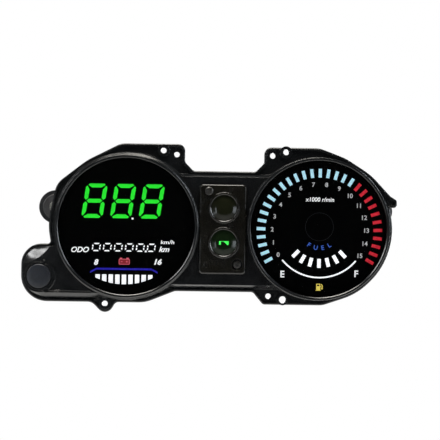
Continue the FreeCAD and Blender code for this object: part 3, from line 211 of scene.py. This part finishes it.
def lit_pipe(name, colour, glow, dimmest):
    """The lit face of a moulded light pipe, mottled down to the dimmest share of its own colour."""
    made = Shader(name, colour, 0.42, Emission_Color=(*colour, 1.0), Emission_Strength=glow)
    mottle = made.spread(made.noise(size_mm=1.6, detail=2.0), dimmest, 1.0, start=0.35, end=0.6)
    light = made.add("MixRGB", blend_type="MULTIPLY")
    light.inputs["Fac"].default_value = 1.0
    light.inputs["Color1"].default_value = (*colour, 1.0)
    made.join(mottle, light.inputs["Color2"])
    made.join(light.outputs["Color"], made.surface.inputs["Emission Color"])
    made.join(light.outputs["Color"], made.surface.inputs["Base Color"])
    made.bump(made.noise(size_mm=0.4, detail=2.0), height_mm=0.01, strength=0.4)
    return made.material


def printed_ink(name, colour, glow):
    """Screen-printed ink lit from behind: slightly grainy and uneven."""
    made = Shader(name, colour, 0.55, Emission_Color=(*colour, 1.0), Emission_Strength=glow)
    made.tint(made.noise(size_mm=0.5), scaled(colour, 0.75), strength=0.6)
    made.bump(made.noise(size_mm=0.15, detail=1.0), height_mm=0.004, strength=0.5)
    return made.material


def clear_pane(name):
    """Clear moulded sheet: see-through, mirroring a little, with faint wiping marks."""
    made = Shader(name)
    see = made.add("BsdfTransparent")
    see.inputs["Color"].default_value = (0.97, 0.975, 0.98, 1.0)
    gloss = made.add("BsdfGlossy")
    wiping = made.noise(size_mm=8.0, detail=4.0, stretch=(1.0, 1.0, 0.25))
    made.join(made.spread(wiping, 0.08, 0.14), gloss.inputs["Roughness"])
    fresnel = made.add("Fresnel")
    fresnel.inputs["IOR"].default_value = 1.18
    mix = made.add("MixShader")
    made.join(fresnel.outputs["Fac"], mix.inputs["Fac"])
    made.join(see.outputs["BSDF"], mix.inputs[1])
    made.join(gloss.outputs["BSDF"], mix.inputs[2])
    made.join(mix.outputs["Shader"], made.output.inputs["Surface"])
    return made.material


def lamp_plastic(name, colour, coat):
    """The smooth glossy plastic of a lamp lens or an LED's dome, with its clear coat's weight."""
    made = Shader(name, colour, 0.14, Coat_Weight=coat, Coat_Roughness=0.05, IOR=1.3)
    made.vary_roughness(made.noise(size_mm=3.0), change=0.05)
    made.bump(made.noise(size_mm=1.5, detail=1.0), height_mm=0.01, strength=0.3)
    return made.material


def metal(name, colour, roughness):
    """Bare or plated metal with a fine grain and a few dull patches."""
    made = Shader(name, colour, roughness, Metallic=1.0)
    made.round_edges(0.15)
    made.tint(made.noise(size_mm=2.0, detail=5.0), scaled(colour, 0.6), strength=0.7)
    made.vary_roughness(made.noise(size_mm=0.8, detail=4.0), change=0.10)
    made.bump(made.noise(size_mm=0.12, detail=2.0), height_mm=0.004, strength=0.6)
    return made.material


def glass_cloth_board():
    """Green solder mask over glass cloth, with the copper's pads and tracks showing through."""
    track_mm, weave_mm = 9.0, 1.2
    made = Shader("board_green", (0.012, 0.085, 0.03), 0.32, Coat_Weight=0.4)
    tracks = made.add("TexBrick", offset=0.5)
    tracks.inputs["Scale"].default_value = 1.0 / (track_mm * MM)
    tracks.inputs["Mortar Size"].default_value = 0.03
    made.join(made.place, tracks.inputs["Vector"])
    copper = made.spread(tracks.outputs["Fac"], 1.0, 0.0, start=0.2, end=0.8)
    made.tint(copper, (0.03, 0.17, 0.06), strength=0.8)
    made.tint(made.noise(size_mm=5.0, detail=4.0), (0.02, 0.12, 0.045), strength=0.5)
    weave = made.add("TexWave", wave_type="BANDS", bands_direction="DIAGONAL")
    weave.inputs["Scale"].default_value = 1.0 / (weave_mm * MM)
    made.join(made.place, weave.inputs["Vector"])
    made.bump(weave.outputs["Fac"], height_mm=0.01, strength=0.3)
    return made.material


def build_finishes():
    """One material for each of the record's slots."""
    return {
        "cover_plastic": moulded_plastic("cover_black", (0.0042, 0.0047, 0.0052), 0.22),
        "rear_plastic": moulded_plastic("rear_black", (0.012, 0.0125, 0.014), 0.34,
                                        grain_mm=0.5, grain_height=0.02),
        "panel_plastic": moulded_plastic("panel_black", (0.0032, 0.0029, 0.0018), 0.24, grain_mm=0.3),
        "dial_black": moulded_plastic("mask_black", (0.0004, 0.0004, 0.0004), 0.72, grain_mm=0.3,
                                      grain_height=0.006, edge_mm=0.0, wear=None, Specular_IOR_Level=0.03),
        "clear_lens": clear_pane("clear_sheet"),
        "black_rubber": rubber("seal_rubber", (0.010, 0.010, 0.011), 0.75),
        "bush_rubber": rubber("bush_rubber", (0.022, 0.022, 0.024), 0.5),
        "button_rubber": rubber("button_rubber", (0.0022, 0.0040, 0.0085), 0.42),
        "pipe_green": lit_pipe("pipe_green", (0.014, 0.76, 0.022), glow=0.82, dimmest=0.75),
        "pipe_white": lit_pipe("pipe_white", (0.95, 0.96, 0.97), glow=0.85, dimmest=0.9),
        "pipe_deep_blue": lit_pipe("pipe_deep_blue", (0.008, 0.004, 0.32), glow=0.9, dimmest=0.7),
        "pipe_pale_blue": lit_pipe("pipe_pale_blue", (0.38, 0.65, 0.76), glow=0.85, dimmest=0.85),
        "pipe_red": lit_pipe("pipe_red", (0.50, 0.012, 0.025), glow=0.9, dimmest=0.75),
        "white_plastic": moulded_plastic("white_plastic", (0.62, 0.62, 0.60), 0.45, grain_mm=0.4,
                                         grain_height=0.01, wear=(0.70, 0.70, 0.69)),
        "circuit_board": glass_cloth_board(),
        "led_body": moulded_plastic("led_body", (0.55, 0.55, 0.52), 0.4, grain_mm=0.3,
                                    grain_height=0.005, edge_mm=0.1, wear=None),
        "led_dome": lamp_plastic("led_dome", (0.55, 0.58, 0.55), coat=0.6),
        "lamp_lens_smoke": lamp_plastic("lamp_smoke", (0.0075, 0.0085, 0.0040), coat=0.0),
        "lamp_lens_green": lamp_plastic("lamp_green", (0.0045, 0.0100, 0.0035), coat=0.0),
        "zinc_steel": metal("zinc_steel", (0.62, 0.60, 0.54), 0.32),
        "dark_screw": metal("dark_screw", (0.085, 0.083, 0.080), 0.34),
        "spring_steel": metal("spring_steel", (0.45, 0.45, 0.46), 0.28),
        "chip_black": moulded_plastic("chip_black", (0.016, 0.016, 0.017), 0.6, grain_mm=0.2,
                                      grain_height=0.008, edge_mm=0.1, wear=None),
        "ribbon_white": moulded_plastic("ribbon_white", (0.60, 0.60, 0.57), 0.5, grain_mm=0.6,
                                        grain_height=0.01, edge_mm=0.0, wear=None),
        "tinned_brass": metal("tinned_brass", (0.70, 0.66, 0.55), 0.25),
        "socket_nylon": moulded_plastic("socket_nylon", (0.50, 0.49, 0.43), 0.48, grain_mm=0.4,
                                        grain_height=0.01, edge_mm=0.2, wear=(0.60, 0.59, 0.54)),
    }


def build_inks():
    """The printed markings' own materials."""
    return {
        "white_ink": printed_ink("white_ink", (0.92, 0.92, 0.92), glow=0.7),
        "grey_ink": printed_ink("grey_ink", (0.55, 0.55, 0.56), glow=0.45),
        "rose_ink": printed_ink("rose_ink", (0.62, 0.10, 0.14), glow=0.7),
        "red_ink": printed_ink("red_ink", (0.22, 0.006, 0.012), glow=0.6),
        "faint_ink": printed_ink("faint_ink", (0.012, 0.014, 0.016), glow=0.3),
        "yellow_ink": printed_ink("yellow_ink", (0.78, 0.62, 0.10), glow=0.7),
        "blue_ink": printed_ink("blue_ink", (0.03, 0.10, 0.48), glow=0.7),
        "turn_green": printed_ink("turn_green", (0.03, 0.62, 0.06), glow=0.9),
    }


def dress_nodes(finishes):
    """Every CAD node gets the finish of its own slot."""
    for node in NODES.values():
        for slot in node.material_slots:
            slot.material = finishes[slot.material.name.split(".")[0]]


# ---------------------------------------------------------------- meshes and pieces

INK_DEPTH = 0.06 * MM       # how far a printed marking stands off its face
CAPITAL_SHARE = 0.70        # a capital letter's height, as a share of the font's size
MASK_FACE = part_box("left_dial_mask")[0].y


def middle_mm(name):
    """Where the middle of a node's box lies, across and up, in millimetres."""
    low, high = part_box(name)
    return (low.x + high.x) / 2 / MM, (low.z + high.z) / 2 / MM


def add_piece(name, mesh, finish):
    """Puts a finished mesh in the scene as a piece of the case with one material."""
    made = bpy.data.objects.new(name, mesh)
    bpy.context.scene.collection.objects.link(made)
    made.data.materials.clear()
    made.data.materials.append(finish)
    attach(made, "case")
    return made


def mesh_of(curve):
    """The mesh that a text or a curve makes."""
    scratch = bpy.data.objects.new("scratch", curve)
    bpy.context.scene.collection.objects.link(scratch)
    bpy.context.view_layer.update()
    mesh = bpy.data.meshes.new_from_object(scratch.evaluated_get(bpy.context.evaluated_depsgraph_get()))
    bpy.data.objects.remove(scratch)
    return mesh


def join_meshes(meshes):
    """One mesh from several."""
    work = bmesh.new()
    for mesh in meshes:
        work.from_mesh(mesh)
    made = bpy.data.meshes.new("joined")
    work.to_mesh(made)
    work.free()
    return made


def text_mesh(words, height, x, z, weight, lean=0.0, spin=0.0, wide=1.0):
    """Raised lettering of that capital height, centred at x, z on the dial masks' face; millimetres."""
    data = bpy.data.curves.new("lettering", "FONT")
    data.body = words
    data.align_x = "CENTER"
    data.align_y = "CENTER"
    data.size = height * MM / CAPITAL_SHARE
    data.offset = weight * MM
    data.shear = lean
    data.extrude = INK_DEPTH / 2
    data.resolution_u = 4
    mesh = mesh_of(data)
    across = [v.co.x for v in mesh.vertices]
    up = [v.co.y for v in mesh.vertices]
    middle = ((min(across) + max(across)) / 2, (min(up) + max(up)) / 2)
    mesh.transform(Matrix.Translation((-middle[0], -middle[1], 0.0)))
    mesh.transform(Matrix.Diagonal((wide, 1.0, 1.0, 1.0)))
    mesh.transform(Matrix.Rotation(spin, 4, "Z"))
    mesh.transform(Matrix.Rotation(math.pi / 2, 4, "X"))
    mesh.transform(Matrix.Translation((x * MM, MASK_FACE - INK_DEPTH / 2, z * MM)))
    return mesh


def plate_mesh(outline, holes=(), face=MASK_FACE, depth=INK_DEPTH):
    """A thin plate standing off the face; outline and holes are rings of x, z in millimetres."""
    mesh = bpy.data.meshes.new("plate")
    work = bmesh.new()
    edges = []
    for ring in (outline, *holes):
        corners = [work.verts.new((x * MM, face - depth, z * MM)) for x, z in ring]
        edges += [work.edges.new((a, b)) for a, b in zip(corners, corners[1:] + corners[:1])]
    bmesh.ops.triangle_fill(work, edges=edges, use_beauty=True)
    raised = bmesh.ops.extrude_face_region(work, geom=work.faces[:])
    moved = [v for v in raised["geom"] if isinstance(v, bmesh.types.BMVert)]
    bmesh.ops.translate(work, verts=moved, vec=(0.0, depth, 0.0))
    bmesh.ops.recalc_face_normals(work, faces=work.faces)
    work.to_mesh(mesh)
    work.free()
    return mesh


def rounded_box(x, z, width, height, radius, steps=4):
    """Points of a rounded rectangle about x, z."""
    points = []
    for quarter, (side, level) in enumerate(((1, 1), (-1, 1), (-1, -1), (1, -1))):
        for step in range(steps + 1):
            angle = math.pi / 2 * (quarter + step / steps)
            points.append((x + side * (width / 2 - radius) + radius * math.cos(angle),
                           z + level * (height / 2 - radius) + radius * math.sin(angle)))
    return points


def circle_points(x, z, radius, steps=96):
    """Points of a circle about x, z."""
    turns = [2 * math.pi * step / steps for step in range(steps)]
    return [(x + radius * math.cos(turn), z + radius * math.sin(turn)) for turn in turns]


def shifted(shape, x, z):
    """The shape's points moved by x, z."""
    return [(x + across, z + up) for across, up in shape]


# ---------------------------------------------------------------- printed markings, in millimetres

LEFT_DIAL = middle_mm("left_dial_mask")[0]
TACH_MIDDLE = -LEFT_DIAL + 1.0      # the right dial's scales stand a little right of its window's middle


def speed_print(inks):
    """ODO, km, km/h and the two ends of the voltage scale on the left dial."""
    # Words, capital height, how far right of and above the dial's middle, weight, lean and width.
    marks = [
        ("ODO", 3.7, -32.6, -16.9, 0.12, 0.28, 1.0),
        ("km", 3.7, 26.6, -15.9, 0.12, 0.30, 1.1),
        ("km/h", 2.6, 28.9, -10.9, 0.06, 0.1, 1.3),
        ("8", 3.7, -21.1, -25.6, 0.2, 0.25, 1.0),
        ("16", 3.7, 22.4, -24.9, 0.2, 0.25, 1.1),
    ]
    meshes = []
    for words, height, across, up, weight, lean, wide in marks:
        meshes.append(text_mesh(words, height, LEFT_DIAL + across, up, weight, lean=lean, wide=wide))
    add_piece("speed_dial_print", join_meshes(meshes), inks["white_ink"])


def battery_sign(inks):
    """The charge lamp: a small battery with two posts and its minus and plus signs."""
    x, z = LEFT_DIAL - 1.4, -25.1
    width, height, line = 7.7, 4.0, 0.4
    sign, sign_across = 1.3, 1.8
    inside = rounded_box(x, z, width - 2 * line, height - 2 * line, 0.35)
    lines = [plate_mesh(rounded_box(x, z, width, height, 0.6), [inside])]
    lines += [plate_mesh(rounded_box(x + side * 2.3, z + 2.4, 1.6, 0.8, 0.15)) for side in (-1, 1)]
    for side, bar_width, bar_height in ((-1, sign, line), (1, sign, line), (1, line, sign)):
        bar = rounded_box(x + side * sign_across, z, bar_width, bar_height, 0.1)
        lines.append(plate_mesh(bar, face=MASK_FACE - INK_DEPTH / 2))
    add_piece("battery_sign_lines", join_meshes(lines), inks["rose_ink"])
    add_piece("battery_sign_fill", plate_mesh(inside, depth=INK_DEPTH / 2), inks["red_ink"])


def dial_numerals(x, z):
    """0 to 15 round the middle of the tachometer's scale, every 16 degrees from low left to low right."""
    radius, first, gap = 33.4, math.radians(210), math.radians(16)
    height, weight = 3.1, 0.07
    marks = []
    for number in range(16):
        angle = first - number * gap
        marks.append(text_mesh(str(number), height, x + radius * math.cos(angle),
                               z + radius * math.sin(angle), weight))
    return marks


def arched_word(word, x, z):
    """Letters hung below x, z on an arc, each turned to follow it."""
    radius, gap = 13.1, math.radians(22)
    height, weight = 3.1, 0.06
    letters = []
    for place, letter in enumerate(word):
        turn = (place - (len(word) - 1) / 2) * gap
        letters.append(text_mesh(letter, height, x + radius * math.sin(turn),
                                 z - radius * math.cos(turn), weight, spin=turn))
    return letters


def tach_print(inks):
    """Numerals, the scale's unit, E and F, the arched word over the fuel scale and a faint ring."""
    end_height, end_weight = 4.6, 0.12
    marks = [
        text_mesh("x1000 r/min", 3.0, TACH_MIDDLE, 20.8, 0.06, lean=0.12, wide=0.95),
        text_mesh("E", end_height, TACH_MIDDLE - 25.7, -32.2, end_weight),
        text_mesh("F", end_height, TACH_MIDDLE + 26.5, -31.3, end_weight),
    ]
    add_piece("tach_dial_print", join_meshes(marks), inks["white_ink"])
    add_piece("tach_numerals", join_meshes(dial_numerals(TACH_MIDDLE, -1.85)), inks["grey_ink"])
    add_piece("fuel_word", join_meshes(arched_word("FUEL", TACH_MIDDLE, -0.3)), inks["blue_ink"])
    ring_up, ring_radius, ring_line = 1.5, 10.0, 0.2
    inner = circle_points(TACH_MIDDLE, ring_up, ring_radius - ring_line)
    ring = plate_mesh(circle_points(TACH_MIDDLE, ring_up, ring_radius), [inner])
    add_piece("tach_ring", ring, inks["faint_ink"])


def fuel_pump_sign(inks):
    """The low-fuel lamp: a pump with its window, foot, hose and nozzle."""
    x, z = -LEFT_DIAL + 1.2, -41.0
    body_x = x - 0.5
    body = rounded_box(body_x, z + 0.1, 2.8, 4.4, 0.35)
    window = rounded_box(body_x, z + 1.2, 1.8, 1.2, 0.15)
    foot = rounded_box(body_x, z - 2.35, 3.5, 0.5, 0.12)
    hose = [(0.9, 0.7), (0.9, 0.3), (1.4, 0.3), (1.4, -1.6), (2.7, -1.6), (2.7, 1.1), (1.6, 2.2),
            (1.25, 1.9), (2.2, 0.9), (2.2, -1.1), (1.8, -1.1), (1.8, 0.7)]
    marks = [plate_mesh(body, [window]), plate_mesh(foot), plate_mesh(shifted(hose, x, z))]
    add_piece("fuel_pump_sign", join_meshes(marks), inks["yellow_ink"])


def turn_sign(inks):
    """The lit turn signal in the lower lamp: a bar and a wedge joined along their tops."""
    sunk = 0.02 * MM
    x, z = middle_mm("lower_indicator_lens")
    shape = [(-3.3, 1.2), (3.5, 1.2), (3.5, -1.0), (2.7, -1.6), (0.0, 0.9), (-2.0, 0.9), (-2.0, -1.3),
             (-3.3, -1.3)]
    mark = plate_mesh(shifted(shape, x, z), face=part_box("lower_indicator_lens")[0].y + sunk)
    add_piece("turn_sign", mark, inks["turn_green"])


# ---------------------------------------------------------------- the button's spring

def button_spring(finish):
    """The coil under the reset button, standing against the floor of its cup."""
    wire_radius = 0.35 * MM
    turns, steps = 3, 40
    low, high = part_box("button_spring")
    x, z = (low.x + high.x) / 2, (low.z + high.z) / 2
    coil_radius = (high.x - low.x) / 2 - wire_radius
    front, rear = low.y + wire_radius, high.y - wire_radius
    data = bpy.data.curves.new("spring_path", "CURVE")
    data.dimensions = "3D"
    data.bevel_depth = wire_radius
    data.bevel_resolution = 3
    data.use_fill_caps = True
    path = data.splines.new("POLY")
    path.points.add(turns * steps)
    for index, point in enumerate(path.points):
        angle = 2 * math.pi * index / steps
        share = index / (turns * steps)
        point.co = (x + coil_radius * math.cos(angle), front + (rear - front) * share,
                    z + coil_radius * math.sin(angle), 1.0)
    mesh = mesh_of(data)
    for face in mesh.polygons:
        face.use_smooth = True
    spring = add_piece("button_coil", mesh, finish)
    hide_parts("button_spring")
    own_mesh(spring)


# ---------------------------------------------------------------- studio and camera

def build_floor():
    """A round pale table well below the cluster."""
    radius, drop = 1.0, 0.24
    work = bmesh.new()
    bmesh.ops.create_circle(work, cap_ends=True, segments=128, radius=radius)
    mesh = bpy.data.meshes.new("floor")
    work.to_mesh(mesh)
    work.free()
    floor = bpy.data.objects.new("floor", mesh)
    floor.location = (0.0, 0.0, cad_low.z - drop)
    bpy.context.scene.collection.objects.link(floor)
    pale = Shader("floor_pale", (0.86, 0.86, 0.86), 0.7)
    pale.tint(pale.noise(size_mm=60.0), (0.82, 0.82, 0.82), strength=0.5)
    mesh.materials.append(pale.material)


def build_world():
    """A white room to the camera, which sheds only a little cool light of its own."""
    world = bpy.data.worlds.new("studio")
    bpy.context.scene.world = world
    world.use_nodes = True
    tree = world.node_tree
    tree.nodes.clear()
    seen = tree.nodes.new("ShaderNodeBackground")
    seen.inputs["Color"].default_value = (1.0, 1.0, 1.0, 1.0)
    seen.inputs["Strength"].default_value = 1.0
    fill = tree.nodes.new("ShaderNodeBackground")
    fill.inputs["Color"].default_value = (0.9, 0.95, 1.0, 1.0)
    fill.inputs["Strength"].default_value = 0.03
    path = tree.nodes.new("ShaderNodeLightPath")
    mix = tree.nodes.new("ShaderNodeMixShader")
    out = tree.nodes.new("ShaderNodeOutputWorld")
    tree.links.new(path.outputs["Is Camera Ray"], mix.inputs["Fac"])
    tree.links.new(fill.outputs["Background"], mix.inputs[1])
    tree.links.new(seen.outputs["Background"], mix.inputs[2])
    tree.links.new(mix.outputs["Shader"], out.inputs["Surface"])


def softbox(name, place, width, height, power, colour):
    """A rectangular lamp turned to face the cluster; place, width and height in metres, power in watts."""
    cluster = Vector((0.0, -0.03, 0.0))
    data = bpy.data.lights.new(name, "AREA")
    data.shape = "RECTANGLE"
    data.size = width
    data.size_y = height
    data.energy = power
    data.color = colour
    made = bpy.data.objects.new(name, data)
    bpy.context.scene.collection.objects.link(made)
    made.location = place
    made.visible_camera = False
    made.rotation_euler = (cluster - Vector(place)).to_track_quat("-Z", "Y").to_euler()


def build_lamps():
    """A wide warm lamp above, narrow ones at the sides and one behind."""
    white, cool, warm = (1.0, 1.0, 1.0), (0.86, 0.93, 1.0), (1.0, 0.96, 0.88)
    # Name, place, width, height, power and colour.
    softbox("top_lamp", (-0.10, -0.20, 1.0), 0.9, 0.4, 24.0, warm)
    softbox("upper_left_lamp", (-0.95, -0.15, 0.55), 0.15, 0.6, 6.0, white)
    softbox("left_front_lamp", (-0.75, -1.45, -0.25), 0.15, 0.6, 2.5, cool)
    softbox("right_front_lamp", (0.95, -1.35, -0.15), 0.15, 0.6, 2.5, cool)
    softbox("right_edge_lamp", (1.0, -0.25, 0.35), 0.15, 0.7, 8.0, cool)
    softbox("back_lamp", (0.3, 1.2, 0.1), 0.6, 0.6, 8.0, white)


def build_camera():
    """Straight on from 1.2 m, a degree left of square and turned a little, as the cluster was seen."""
    distance, seen_width = 1.2, 0.308
    yaw, roll = math.radians(1.0), math.radians(0.85)
    aim = Vector((-2.0 * MM, cad_low.y, 5.3 * MM))
    data = bpy.data.cameras.new("camera")
    data.sensor_width = 36.0
    data.lens = data.sensor_width * distance / seen_width
    data.clip_start = 0.05
    data.clip_end = 20.0
    made = bpy.data.objects.new("camera", data)
    bpy.context.scene.collection.objects.link(made)
    back = Vector((-math.sin(yaw), -math.cos(yaw), 0.0))
    turn = back.to_track_quat("Z", "Y").to_matrix().to_4x4() @ Matrix.Rotation(roll, 4, "Z")
    made.matrix_world = Matrix.Translation(aim + distance * back) @ turn
    bpy.context.scene.camera = made


def main():
    bpy.context.scene.view_settings.view_transform = "Standard"
    finishes = build_finishes()
    inks = build_inks()
    dress_nodes(finishes)
    speed_print(inks)
    battery_sign(inks)
    tach_print(inks)
    fuel_pump_sign(inks)
    turn_sign(inks)
    button_spring(finishes["spring_steel"])
    build_floor()
    build_world()
    build_lamps()
    build_camera()


main()
